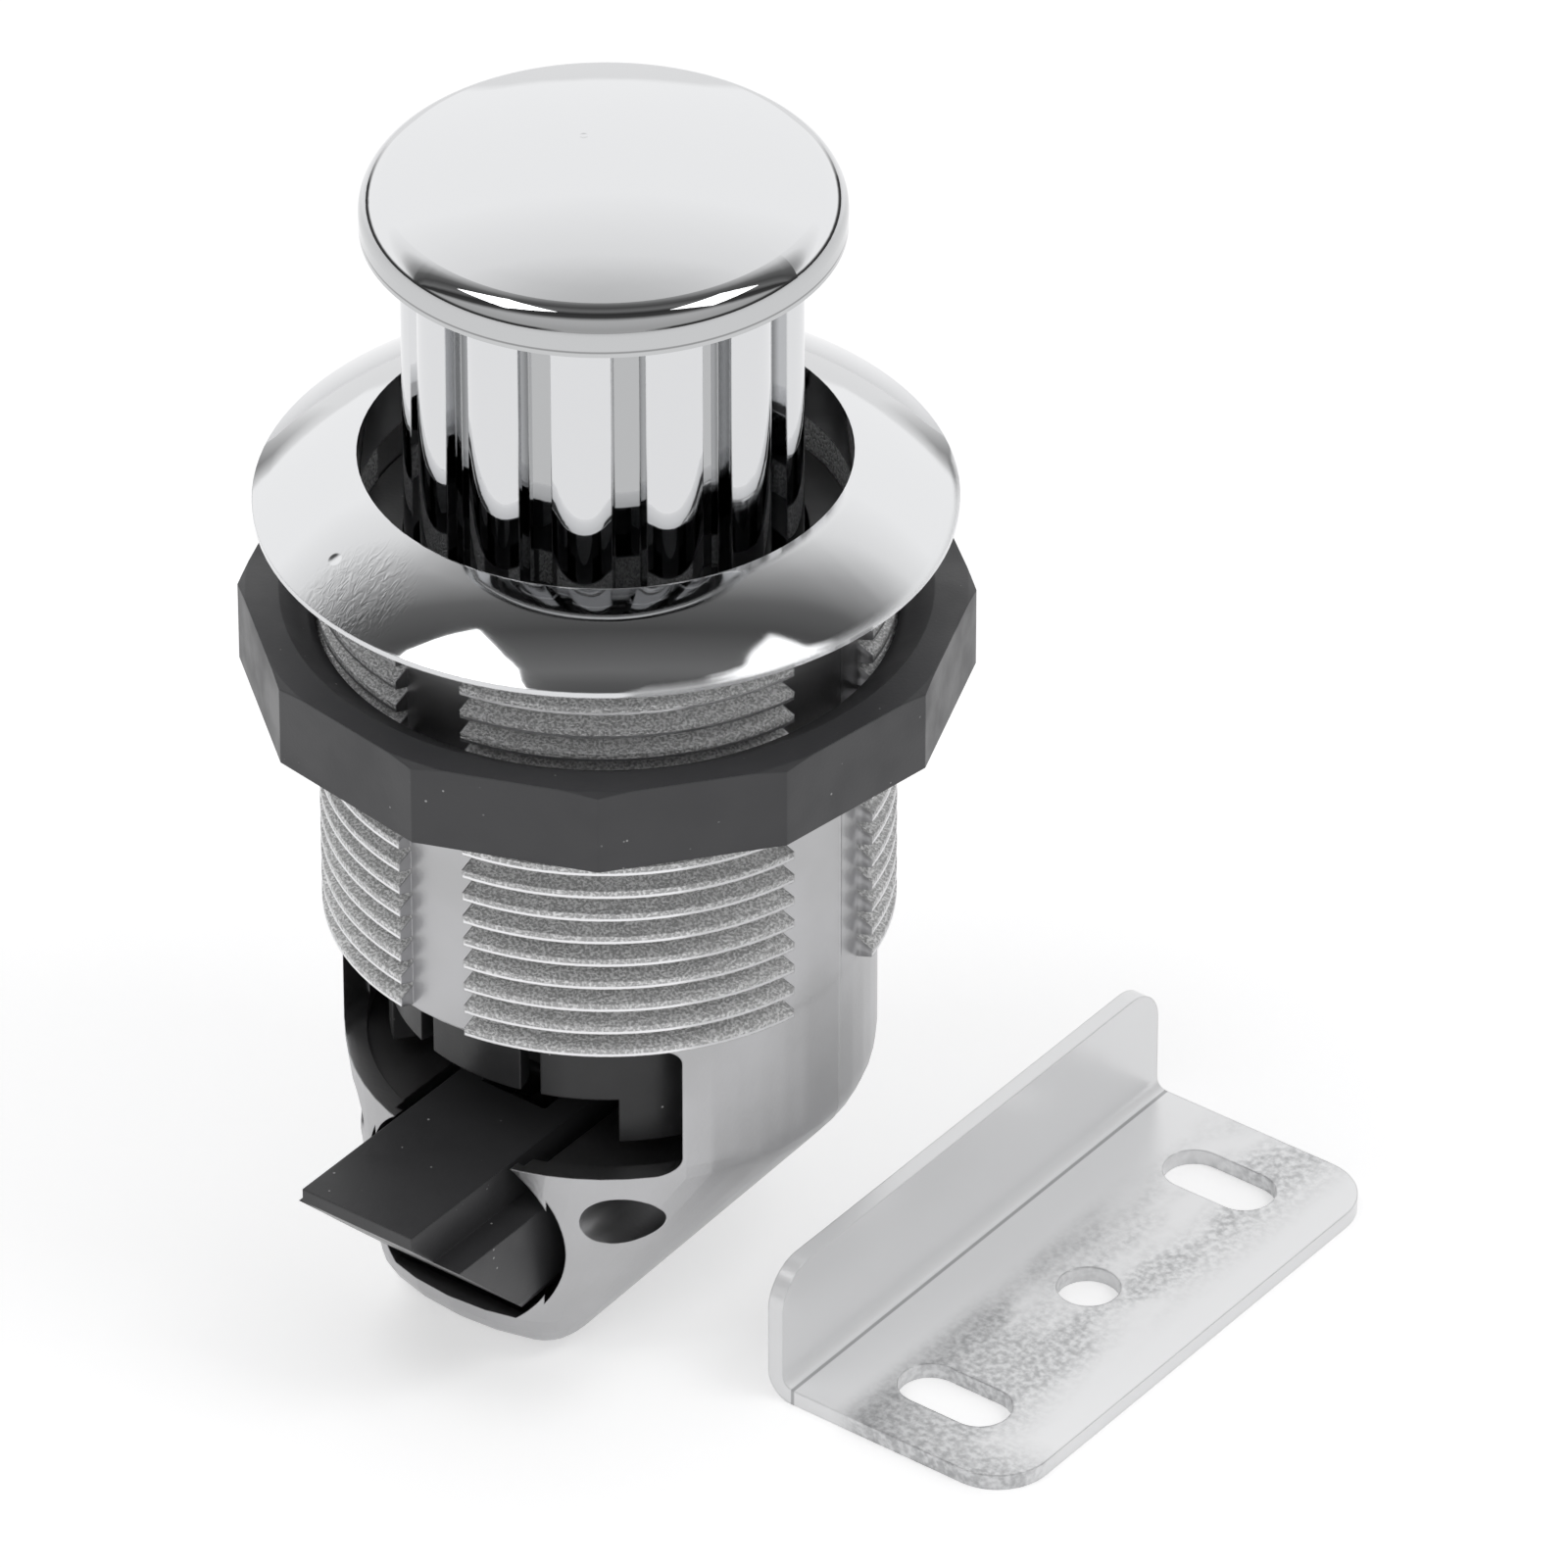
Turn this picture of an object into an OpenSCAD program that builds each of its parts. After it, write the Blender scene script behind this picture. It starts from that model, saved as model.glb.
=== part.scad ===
// Pushbutton panel latch with its strike plate.
// +Z runs along the barrel, out of the panel. The origin is the centre of the
// flange's underside, which is the face that seats on the panel. The bolt
// points along -Y. Sizes are in millimetres.

/* [Flange] */
// Outer diameter of the flange
flange_d = 46; // [44:0.2:50]
// Height of the flange's straight rim
flange_rim = 0.4; // [0.3:0.1:1.2]
// Height of the hole's edge above the panel
flange_h = 3.8; // [3:0.1:5]
// Bulge of the flange's top above a straight cone
flange_bulge = 0.3; // [0.2:0.05:0.6]

/* [Barrel] */
// Outer diameter of the thread
thread_d = 38; // [37:0.1:40]
// Depth of the thread
thread_depth = 1.2; // [0.8:0.1:1.4]
// Distance between thread crests
thread_pitch = 1.8; // [1.5:0.1:2.4]
// Width of a crest
crest_w = 0.6; // [0.4:0.1:0.8]
// Distance from the panel seat to the end of the thread
thread_len = 31.7; // [28:0.1:36]
// Width of the flats in the thread on the bolt's side and behind
narrow_flat = 5.2; // [3:0.1:6]
// Width of the flats in the thread on the two sides
wide_flat = 8.4; // [5:0.1:9]

/* [Cage] */
// Length of the cage below the thread
cage_len = 26; // [25:0.1:28]
// Wall of the cage
cage_wall = 1.6; // [1.2:0.1:2]
// Radius of the cage's lower edges
cage_fillet = 4; // [3:0.1:5]
// Straight length of the cage's full round below the thread
cage_straight = 9.8; // [8:0.1:11]
// Half angle of the cage's bottom as seen from above
foot_angle = 19; // [14:1:24]
// Width of the upper window
window_w = 28.4; // [24:0.1:29]
// Height of the upper window
window_h = 10.2; // [9.8:0.1:10.4]
// Corner radius of the upper window
window_r = 1.3; // [0.8:0.1:2]
// Diameter of the bolt's window
port_d = 15.7; // [15.6:0.1:16]
// Height of the bolt window's axis above the cage's bottom
port_up = 9.5; // [9.2:0.1:10]
// Height of the bolt window's flat sill above the cage's bottom
sill_up = 3.5; // [3:0.1:4]
// Diameter of the two round holes beside the bolt
side_hole_d = 3.95; // [3:0.05:4.2]
// Distance between the two round holes
side_hole_gap = 22; // [21:0.1:22.6]
// Height of the two round holes above the cage's bottom
side_hole_up = 12; // [11.4:0.1:12.4]

/* [Nut] */
// Width of the nut across its corners
nut_d = 48.2; // [46:0.2:52]
// Thickness of the nut
nut_t = 6; // [4:0.5:8]
// Distance from the panel seat to the nut, which is the panel it would clamp
nut_drop = 6.8; // [4:0.1:10]
// Turn of the nut's corners about the barrel
nut_turn = 6.3; // [0:0.1:30]
// Depth of the nut's countersink
nut_sink = 1.5; // [1:0.1:2]

/* [Knob] */
// Diameter of the knob's cap
cap_d = 31.5; // [31:0.1:34]
// Height of the cap's rim up to the middle of its rounded edge
cap_rim = 2.45; // [2:0.05:3]
// Rise of the cap's middle above that height
cap_dome = 2.4; // [2:0.1:3.4]
// Radius of the cap's upper edge
cap_edge = 2; // [1.4:0.1:2.2]
// Radius of the cap's dome
dome_r = 60; // [50:1:80]
// Outer diameter of the knob's stem, across its ribs
stem_d = 26.3; // [25.6:0.1:27]
// Length of the stem
stem_len = 34; // [32:0.2:35]
// Depth of the grooves between the ribs
groove_depth = 1.6; // [1:0.1:1.8]
// Number of ribs
rib_count = 13; // [11:1:15]
// Width of a rib
rib_w = 3.9; // [3.2:0.1:4.2]
// Radius of a rib's back
rib_round = 3.5; // [3:0.1:4]
// Turn of the ribs about the stem
rib_turn = 24; // [0:1:28]
// Wall of the stem under the grooves
stem_wall = 1.4; // [1.2:0.1:1.8]
// How far the knob stands out of the flange when it is released
knob_travel = 19.8; // [18:0.2:21]
// How far the knob can be pulled to draw the bolt
knob_pull = 3; // [2:0.1:3.4]

/* [Guide sleeve] */
// Wall of the guide sleeve
sleeve_wall = 1.5; // [1.2:0.1:1.6]
// Depth of the sleeve's top below the flange's underside
sleeve_drop = 2.5; // [2:0.1:4]
// Distance from the thread's end to the sleeve's lower edge at the window
sleeve_below = 6; // [5.4:0.1:6.3]
// Extra length of the sleeve's skirt away from the window
skirt_len = 3.4; // [3:0.1:3.6]
// Half angle of the sleeve's short front
skirt_angle = 40; // [36:1:44]
// Half angle of the sleeve's snap finger
finger_angle = 17; // [14:1:20]
// Length of the snap finger
finger_len = 10; // [6:0.5:14]
// Width of the slots beside the snap finger
finger_slot = 1.4; // [1:0.1:2]

/* [Bolt] */
// How far the bolt stands out of the cage
bolt_reach = 9.3; // [8.6:0.1:10]
// Travel of the bolt
bolt_travel = 8.5; // [7:0.1:8.6]
// Diameter of the bolt's round body
bolt_d = 14.8; // [14.6:0.05:15]
// Width of the bolt's top face
bolt_top_w = 9.1; // [8:0.1:9.6]
// Height of the bolt's top face above its round axis
bolt_top_up = 6.3; // [6:0.1:6.4]
// Depth of the ledges beside the top face
ledge_drop = 3.2; // [2.8:0.1:3.6]
// Width across the ledges
ledge_w = 13.4; // [12:0.1:13.8]
// Height of the bolt's blunt nose
nose_h = 1; // [0.6:0.1:1.6]
// Angle of the ramp under the bolt
ramp_angle = 45; // [40:1:50]

/* [Strike plate] */
// Length of the strike plate
strike_len = 42; // [38:0.5:46]
// Width of the strike plate's base
strike_w = 19.8; // [18:0.2:23]
// Height of the strike plate's upright
strike_h = 10; // [7:0.2:12]
// Thickness of the strike plate
strike_t = 1.2; // [1:0.1:1.5]
// Inner radius of the strike plate's bend
strike_bend = 0.8; // [0.5:0.1:1.2]
// Corner radius of the base
base_corner = 4; // [3:0.2:5]
// Corner radius of the upright
upright_corner = 3; // [2:0.2:4]
// Width of the screw slots
slot_w = 4.4; // [4:0.1:5]
// Length of the screw slots
slot_len = 8.4; // [7:0.1:9]
// Distance between the screw slots
slot_gap = 29.8; // [28:0.1:31]
// Diameter of the middle hole
strike_hole_d = 4.3; // [4:0.1:5]
// Distance from the strike's bend to its screw line
screw_line = 10.8; // [10:0.1:12]
// Place of the strike plate's bend beside the latch
strike_x = 20.6; // [19:0.2:30]
// Place of the strike plate's middle along the latch
strike_y = 11.2; // [0:0.2:16]

/* [Hidden] */
$fn = 96;

// Overrun of a cutting shape past the face it cuts
over = 1;
// Radial clearance of the cap in the flange's hole
cap_gap = 0.4;
// Radial clearance of a sliding fit
slide_gap = 0.08;
// Gap between pieces that pass each other
pass_gap = 0.3;

body_len = thread_len + cage_len;
sleeve_len = thread_len + sleeve_below;
thread_r = thread_d / 2;
core_r = thread_r - thread_depth;
hole_r = cap_d / 2 + cap_gap;
stem_r = stem_d / 2;
groove_r = stem_r - groove_depth;
stem_bore_r = groove_r - stem_wall;
sleeve_in_r = stem_r + slide_gap;
sleeve_out_r = sleeve_in_r + sleeve_wall;
sleeve_bore_r = sleeve_out_r + slide_gap;

// Heights, all measured from the panel seat
neck_h = 0.8;
cap_top_z = flange_h + knob_travel;
cap_low_z = cap_top_z - cap_rim;
stem_low_z = cap_low_z - stem_len;
collar_h = 1.2;
collar_z = -sleeve_drop - collar_h;
nut_top_z = -nut_drop;
ring_z = -thread_len - cage_straight;
foot_z = -body_len + cage_fillet;
turn_r = core_r - cage_fillet - 0.05;
bolt_back = 6.8;
slope_angle = atan2(ring_z - foot_z, turn_r * (1 + cos(foot_angle)));
tail_room_w = bolt_top_w + 2;
tail_room_y = 9.6;
window_top_z = -thread_len - 0.1;
window_low_z = window_top_z - window_h;
port_z = -body_len + port_up;
sill_z = -body_len + sill_up;
bolt_top_z = port_z + bolt_top_up;
skirt_z = -sleeve_len - skirt_len;

// The plate at the stem's top that carries the cap
plate_r = cap_d / 2 - 1;
plate_h = 1.6;
plate_lip = 0.35;
fit_gap = 0.02;

// The cam core that hangs under the knob
core_disc_h = 3;
core_low_z = stem_low_z - core_disc_h;
core_cover_h = 6.8;
core_top_z = cap_low_z - core_cover_h;
rod_room = 2.5;
core_body_r = stem_bore_r - slide_gap;
core_flat_y = core_body_r * 0.76;
lug_w = 3;
lug_gap = 0.15;
lug_out_r = sleeve_out_r - pass_gap;
rod_bore_r = 3.2;
spring_wire = 1;
spring_r = 4.9;
spring_pocket_in = spring_r - spring_wire / 2 - pass_gap;
spring_pocket_out = spring_r + spring_wire / 2 + pass_gap;
spring_turns = 11;
spring_cover = 6;

// The spring base under the sleeve
base_t = 1.8;
post_h = 2;
// Share of the base's radius at which its front is cut off
base_cut = 0.6;
base_r = sleeve_in_r - slide_gap;
base_top_z = skirt_z + base_t + 0.3;

// The follower wire and its track
wire_d = 1;
track_w = wire_d + 0.4;
lane_gap = 2.3;
track_depth = 1.1;
wire_tip_z = -8;
wire_foot = 4;
wire_gap = 8;
wire_x = -lane_gap / 2;

// Cross pins that hold the core in the stem
pin_r = 1;
pin_in = 7;
pin_z = stem_low_z + 6;

// The rocker that turns the draw rod's lift into the bolt's travel
rocker_y = 0.4;
rocker_z = base_top_z - base_t - 0.8;
rocker_t = 2;
rocker_hub_r = 1;
rocker_pin_r = 0.5;
rocker_arm = 2.2;
rocker_reach = 5.5;
rocker_half_swing = asin(bolt_travel / 2 / rocker_reach);
rocker_lift = 2 * rocker_arm * sin(rocker_half_swing);
bolt_pin_y = rocker_y - bolt_travel / 2;
bolt_pin_z = rocker_z - rocker_reach * cos(rocker_half_swing);
ear_t = 1.3;
ear_gap = 0.15;
ear_len = 3;
ear_drop = 1.4;
ear_x = rocker_t / 2 + ear_gap;
rod_r = 1.4;
rod_head_t = 2;
rod_tip_r = 0.6;
rod_blade_y = rocker_y + rocker_arm + rod_tip_r + ear_gap;
rod_blade_t = 0.8;
rod_low_z = base_top_z + 0.1;
rod_foot_t = 0.8;
foot_room = 1.4;
finger_in = rocker_pin_r + 0.5;
finger_t = 0.8;

// A ring with a rectangular section
module tube(outer_r, inner_r, low_z, high_z) {
    translate([0, 0, low_z]) difference() {
        cylinder(h = high_z - low_z, r = outer_r);
        translate([0, 0, -over]) cylinder(h = high_z - low_z + 2 * over, r = inner_r);
    }
}

// A rectangle with round corners, centred on the origin
module rounded_plate(w, h, r) {
    square([w - 2 * r, h], center = true);
    square([w, h - 2 * r], center = true);
    for (sx = [-1, 1], sy = [-1, 1])
        translate([sx * (w / 2 - r), sy * (h / 2 - r)]) circle(r);
}

// A shape drawn in X and Z, cut from the front towards the middle of the cage
module front_cut(depth) {
    translate([0, -core_r - over, 0]) rotate([90, 0, 0]) mirror([0, 0, 1])
        linear_extrude(depth + over) children();
}

// Section of the flange: its top is an arc from the rim to the hole's edge
module flange_section() {
    run = flange_d / 2 - hole_r;
    rise = flange_h - flange_rim;
    chord = sqrt(run * run + rise * rise);
    arc_r = chord * chord / (8 * flange_bulge) + flange_bulge / 2;
    reach = arc_r - flange_bulge;
    lean = atan2(run, rise);
    intersection() {
        translate([hole_r, 0]) square([run, flange_h]);
        translate([hole_r + run / 2 - reach * cos(lean), flange_rim + rise / 2 - reach * sin(lean)])
            circle(arc_r, $fn = 360);
    }
}

// One thread crest, as a ring
module thread_crest() {
    root_w = thread_pitch - 0.35;
    rotate_extrude() polygon([
        [core_r - 0.2, -root_w / 2 - 0.1],
        [thread_r, -crest_w / 2],
        [thread_r, crest_w / 2],
        [core_r - 0.2, root_w / 2 + 0.1]
    ]);
}

module thread() {
    count = floor((thread_len - 1) / thread_pitch);
    tall = thread_len + 2 * over;
    difference() {
        for (i = [0 : count - 1])
            translate([0, 0, -thread_len + thread_pitch / 2 + i * thread_pitch]) thread_crest();
        for (s = [-1, 1]) {
            translate([-narrow_flat / 2, s * thread_r - thread_r / 4, -tall])
                cube([narrow_flat, thread_r / 2, tall]);
            translate([s * thread_r - thread_r / 4, -wide_flat / 2, -tall])
                cube([thread_r / 2, wide_flat, tall]);
        }
    }
}

// The cage below the thread: a full round drawn down to a narrow foot in front
module cage_form() {
    hull() {
        translate([0, 0, ring_z]) rotate_extrude($fn = 60)
            translate([turn_r, 0]) circle(cage_fillet, $fn = 24);
        translate([0, 0, -thread_len]) cylinder(h = 0.3, r = turn_r + cage_fillet, $fn = 60);
        for (a = [-1 : 0.5 : 1])
            rotate(a * foot_angle) translate([0, -turn_r, foot_z]) sphere(cage_fillet, $fn = 24);
    }
}

// The room inside the cage, kept off the slope at its back
module cage_room() {
    floor_z = ring_z - cage_fillet / 4;
    chamber_r = port_up - cage_wall + 0.3;
    translate([0, 0, floor_z])
        cylinder(h = -thread_len + over - floor_z, r = core_r - cage_wall);
    intersection() {
        union() {
            translate([0, -core_r + cage_wall, port_z]) rotate([-90, 0, 0])
                cylinder(h = core_r - cage_wall + 1, r = chamber_r);
            translate([-tail_room_w / 2, -5, port_z]) cube([tail_room_w, 5 + tail_room_y, port_up]);
        }
        translate([0, turn_r, ring_z]) rotate([slope_angle, 0, 0])
            translate([-core_r, -3 * core_r, -cage_fillet + cage_wall])
                cube([2 * core_r, 4 * core_r, 2 * core_r]);
    }
}

module housing() {
    color("silver") difference() {
        union() {
            rotate_extrude() flange_section();
            translate([0, 0, -thread_len]) cylinder(h = thread_len, r = core_r);
            // Full round neck that centres the flange in the panel's hole
            translate([0, 0, -neck_h]) cylinder(h = neck_h + 0.1, r = thread_r + 0.03);
            thread();
            cage_form();
        }
        tube_bore();
        cage_room();
        front_cut(core_r * 0.55) cage_windows();
    }
}

// The stepped bore for the cap, the sleeve's collar and the sleeve
module tube_bore() {
    translate([0, 0, collar_z]) cylinder(h = flange_h - collar_z + over, r = hole_r);
    translate([0, 0, -thread_len - over])
        cylinder(h = thread_len + over + collar_z + 0.1, r = sleeve_bore_r);
}

module cage_windows() {
    translate([0, (window_top_z + window_low_z) / 2])
        rounded_plate(window_w, window_h, window_r);
    intersection() {
        translate([0, port_z]) circle(port_d / 2);
        translate([-port_d / 2, sill_z]) square([port_d, window_low_z - sill_z + over]);
    }
    for (s = [-1, 1])
        translate([s * side_hole_gap / 2, -body_len + side_hole_up]) circle(side_hole_d / 2);
}

module mounting_nut() {
    bevel = 0.5;
    color([0.17, 0.17, 0.18]) translate([0, 0, nut_top_z - nut_t]) difference() {
        intersection() {
            rotate(nut_turn) cylinder(h = nut_t, r = nut_d / 2, $fn = 12);
            cylinder(h = nut_t, r1 = nut_d / 2 + nut_t * 2 - bevel, r2 = nut_d / 2 - bevel);
        }
        translate([0, 0, -over]) cylinder(h = nut_t + 2 * over, r = thread_r + slide_gap);
        translate([0, 0, nut_t - nut_sink])
            cylinder(h = nut_sink + 0.01, r1 = thread_r + slide_gap, r2 = thread_r + 2.4);
    }
}

module guide_sleeve() {
    color([0.1, 0.1, 0.1]) difference() {
        union() {
            tube(sleeve_out_r, sleeve_in_r, skirt_z, -sleeve_drop);
            tube(hole_r - slide_gap, sleeve_in_r, collar_z, -sleeve_drop);
        }
        // The front of the skirt is shorter, where the bolt's window is
        intersection() {
            tube(sleeve_out_r + over, sleeve_in_r - over, skirt_z - over, -sleeve_len);
            linear_extrude(4 * body_len, center = true) polygon([
                [0, 0],
                [-flange_d * sin(skirt_angle), -flange_d * cos(skirt_angle)],
                [0, -2 * flange_d],
                [flange_d * sin(skirt_angle), -flange_d * cos(skirt_angle)]
            ]);
        }
        // Slots beside the snap finger
        for (s = [-1, 1]) rotate(s * finger_angle)
            translate([-finger_slot / 2, -sleeve_out_r - over, -sleeve_len - over])
                cube([finger_slot, sleeve_wall + 2 * over, finger_len + over]);
        // Long slots that guide the core's lugs
        for (s = [-1, 1]) lug_slot(s);
    }
}

module lug_slot(s) {
    slot_top = stem_low_z + knob_pull + pass_gap;
    slot_low = core_low_z - knob_travel - pass_gap;
    translate([s * (sleeve_in_r + sleeve_wall / 2) - sleeve_wall, -lug_w / 2 - lug_gap, slot_low])
        cube([2 * sleeve_wall, lug_w + 2 * lug_gap, slot_top - slot_low]);
}

module spring_base() {
    color([0.12, 0.12, 0.12]) difference() {
        union() {
            translate([0, 0, base_top_z - base_t]) cylinder(h = base_t, r = base_r);
            tube(spring_pocket_in - 0.05, rod_bore_r - 1, base_top_z - 0.1, base_top_z + post_h);
            // Two ears that carry the rocker's pin
            for (s = [-1, 1]) translate([s > 0 ? ear_x : -ear_x - ear_t, rocker_y - ear_len / 2, rocker_z - ear_drop])
                cube([ear_t, ear_len, base_top_z - base_t / 2 - rocker_z + ear_drop]);
        }
        translate([0, 0, base_top_z - base_t - over]) cylinder(h = 2 * base_t + post_h, r = rod_r + pass_gap);
        // Front edge cut back behind the window
        translate([-base_r, -2 * base_r, rocker_z - base_r])
            cube([2 * base_r, base_r * (2 - base_cut), 2 * base_r]);
        // Slot for the rocker and the draw rod's blade
        rocker_slot(rocker_y - finger_in - finger_t - 2 * pass_gap, base_top_z - 10, 20);
        // Hole for the rocker's pin
        translate([-ear_x - ear_t - over, rocker_y, rocker_z]) rotate([0, 90, 0])
            cylinder(h = 2 * (ear_x + ear_t + over), r = rocker_pin_r, $fn = 32);
        // Hole for the follower wire's foot
        translate([wire_x, wire_y() - 3, base_top_z - base_t / 2])
            rotate([-90, 0, 0]) cylinder(h = base_r, r = wire_d / 2 + slide_gap, $fn = 24);
        translate([wire_x - wire_d / 2 - pass_gap, wire_y() - wire_d / 2 - pass_gap, base_top_z - base_t / 2])
            cube([wire_d + 2 * pass_gap, 3, base_t]);
    }
}

function wire_y() = core_flat_y + wire_d / 2 + 0.35;

// The domed cap, which is pressed over the plate at the stem's top
module knob_cap() {
    dome_low = cap_rim + cap_dome - dome_r;
    // The edge's circle touches the dome from inside and the rim's side
    edge_x = cap_d / 2 - cap_edge;
    edge_z = dome_low + sqrt(pow(dome_r - cap_edge, 2) - edge_x * edge_x);
    touch_x = edge_x * dome_r / (dome_r - cap_edge);
    color([0.85, 0.86, 0.88]) translate([0, 0, cap_low_z]) difference() {
        rotate_extrude() {
            intersection() {
                translate([0, dome_low]) circle(dome_r, $fn = 360);
                square([touch_x, cap_rim + cap_dome]);
            }
            square([cap_d / 2, edge_z]);
            translate([edge_x, edge_z]) circle(cap_edge, $fn = 64);
        }
        translate([0, 0, -over]) cylinder(h = plate_h + over, r = plate_r);
    }
}

// The ribbed stem, whose plate fills the cap from below and stands out as a small lip
module knob_stem() {
    color([0.85, 0.86, 0.88]) difference() {
        union() {
            translate([0, 0, cap_low_z - plate_lip])
                cylinder(h = plate_h + plate_lip, r = plate_r - fit_gap);
            translate([0, 0, stem_low_z])
                linear_extrude(cap_low_z - stem_low_z) stem_section();
        }
        translate([0, 0, stem_low_z - over])
            cylinder(h = core_top_z + rod_room - stem_low_z + over, r = stem_bore_r);
        pin_holes();
    }
}

module stem_section() {
    circle(groove_r);
    for (i = [0 : rib_count - 1]) rotate(rib_turn + i * 360 / rib_count) intersection() {
        translate([stem_r - rib_round, 0]) circle(rib_round, $fn = 64);
        translate([groove_r - 1, -rib_w / 2]) square([groove_depth + 2, rib_w]);
    }
}

// One hole on each side for the pins that hold the core in the stem
module pin_holes() {
    for (s = [-1, 1]) translate([s * pin_in, 0, pin_z]) rotate([0, s * 90, 0])
        cylinder(h = stem_r - pin_in + over, r = pin_r, $fn = 32);
}

module core_pin(s) {
    color([0.6, 0.6, 0.62]) translate([s * pin_in, 0, pin_z]) rotate([0, s * 90, 0])
        cylinder(h = groove_r - pin_in, r = pin_r, $fn = 32);
}

module cam_core() {
    color([0.14, 0.14, 0.15]) difference() {
        union() {
            translate([0, 0, core_low_z]) cylinder(h = core_top_z - core_low_z, r = core_body_r);
            translate([0, 0, core_low_z]) cylinder(h = core_disc_h, r = stem_r - 0.1);
            for (s = [-1, 1]) translate([s > 0 ? 0 : -lug_out_r, -lug_w / 2, core_low_z])
                cube([lug_out_r, lug_w, core_disc_h]);
        }
        // Bore for the draw rod's head, above its collar
        translate([0, 0, core_low_z + core_disc_h]) cylinder(h = stem_len, r = rod_bore_r);
        translate([0, 0, core_low_z - over]) cylinder(h = stem_len, r = rod_bore_r - 0.9);
        // Pocket for the knob's spring
        translate([0, 0, core_low_z - over]) difference() {
            cylinder(h = core_top_z - spring_cover - core_low_z, r = spring_pocket_out);
            translate([0, 0, -over]) cylinder(h = stem_len, r = spring_pocket_in);
        }
        // Flat back and the gap in the disc for the follower wire
        translate([-stem_d, core_flat_y, core_low_z + core_disc_h]) cube([2 * stem_d, stem_d, stem_len]);
        translate([-wire_gap / 2, core_flat_y, core_low_z - over]) cube([wire_gap, stem_d, stem_len]);
        rocker_slot(0, core_low_z - over, over + foot_room);
        cam_track();
        pin_holes();
    }
}

// The heart-shaped track: two lanes round an island
module cam_track() {
    low = wire_tip_z - knob_pull - 2;
    high = wire_tip_z + knob_travel + 2;
    translate([0, core_flat_y + over, 0]) rotate([90, 0, 0]) linear_extrude(track_depth + over)
        difference() {
            translate([0, (low + high) / 2])
                rounded_plate(lane_gap + track_w, high - low, track_w / 2);
            hull() {
                for (s = [-1, 1]) translate([s * 0.1, high - 3 * track_w]) circle(0.3, $fn = 16);
                translate([0, low + 4 * track_w]) circle(0.2, $fn = 16);
            }
        }
}

module knob_spring() {
    low = base_top_z + spring_wire / 2;
    high = core_top_z - spring_cover - over - spring_wire / 2 - 0.05;
    steps = 10;
    count = spring_turns * steps;
    color([0.7, 0.7, 0.72]) for (i = [0 : count - 1]) hull() {
        spring_bead(i / count, low, high);
        spring_bead((i + 1) / count, low, high);
    }
}

module spring_bead(t, low, high) {
    rotate(t * spring_turns * 360) translate([spring_r, 0, low + (high - low) * t])
        sphere(spring_wire / 2, $fn = 8);
}

module cam_follower() {
    foot_z = base_top_z - base_t / 2;
    color([0.7, 0.7, 0.72]) translate([wire_x, 0, 0]) {
        translate([0, wire_y(), foot_z]) cylinder(h = wire_tip_z - foot_z, r = wire_d / 2, $fn = 32);
        translate([0, wire_y() - wire_d / 2, foot_z]) rotate([-90, 0, 0])
            cylinder(h = wire_foot, r = wire_d / 2, $fn = 32);
        translate([0, core_flat_y - track_depth + 0.2, wire_tip_z - wire_d / 2]) rotate([-90, 0, 0])
            cylinder(h = wire_y() - core_flat_y + track_depth - 0.2, r = wire_d / 2, $fn = 32);
    }
}

// Room for the rocker and the rod's blade, from a place in front to behind the blade
module rocker_slot(front_y, low_z, h) {
    translate([-ear_x, front_y, low_z])
        cube([2 * ear_x, rod_blade_y + rod_blade_t + pass_gap - front_y, h]);
}

// Rod that hangs over the core's collar by its head and lifts the rocker by its hook
module draw_rod() {
    head_z = core_low_z + core_disc_h + knob_pull + 0.1;
    hook_top_z = rocker_z - rocker_arm * sin(rocker_half_swing) - rod_tip_r - 0.1;
    hook_t = 0.7;
    blade_w = rocker_t - 0.2;
    hook_y = rocker_y + rocker_arm * cos(rocker_half_swing) + 0.25;
    blade_end_y = rod_blade_y + rod_blade_t;
    color([0.66, 0.66, 0.68]) {
        translate([0, 0, rod_low_z]) cylinder(h = head_z - rod_low_z + 0.1, r = rod_r);
        translate([0, 0, head_z]) cylinder(h = rod_head_t, r = rod_bore_r - 0.2);
        translate([-blade_w / 2, 0, rod_low_z]) cube([blade_w, blade_end_y, rod_foot_t]);
        translate([-blade_w / 2, rod_blade_y, hook_top_z - hook_t])
            cube([blade_w, rod_blade_t, rod_low_z + rod_foot_t - hook_top_z + hook_t]);
        translate([-blade_w / 2, hook_y, hook_top_z - hook_t])
            cube([blade_w, blade_end_y - hook_y, hook_t]);
    }
}

// Two arms at a right angle: the short one rides on the hook, the long one draws the bolt
module rocker() {
    color([0.66, 0.66, 0.68]) translate([-rocker_t / 2, rocker_y, rocker_z])
        rotate([-rocker_half_swing, 0, 0]) rotate([90, 0, 90]) linear_extrude(rocker_t)
            difference() {
                union() {
                    circle(rocker_hub_r);
                    translate([-finger_in - finger_t, -rocker_hub_r])
                        square([finger_in + finger_t, 2 * rocker_hub_r]);
                    translate([0, -rod_tip_r]) square([rocker_arm, 2 * rod_tip_r]);
                    translate([rocker_arm, 0]) circle(rod_tip_r, $fn = 32);
                    translate([-finger_in - finger_t, -rocker_reach - 0.7])
                        square([finger_t, rocker_reach + 0.7]);
                }
                circle(rocker_pin_r + slide_gap / 2, $fn = 32);
            }
}

module rocker_pin() {
    color([0.6, 0.6, 0.62]) translate([-ear_x - ear_t, rocker_y, rocker_z]) rotate([0, 90, 0])
        cylinder(h = 2 * (ear_x + ear_t), r = rocker_pin_r, $fn = 32);
}

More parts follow.
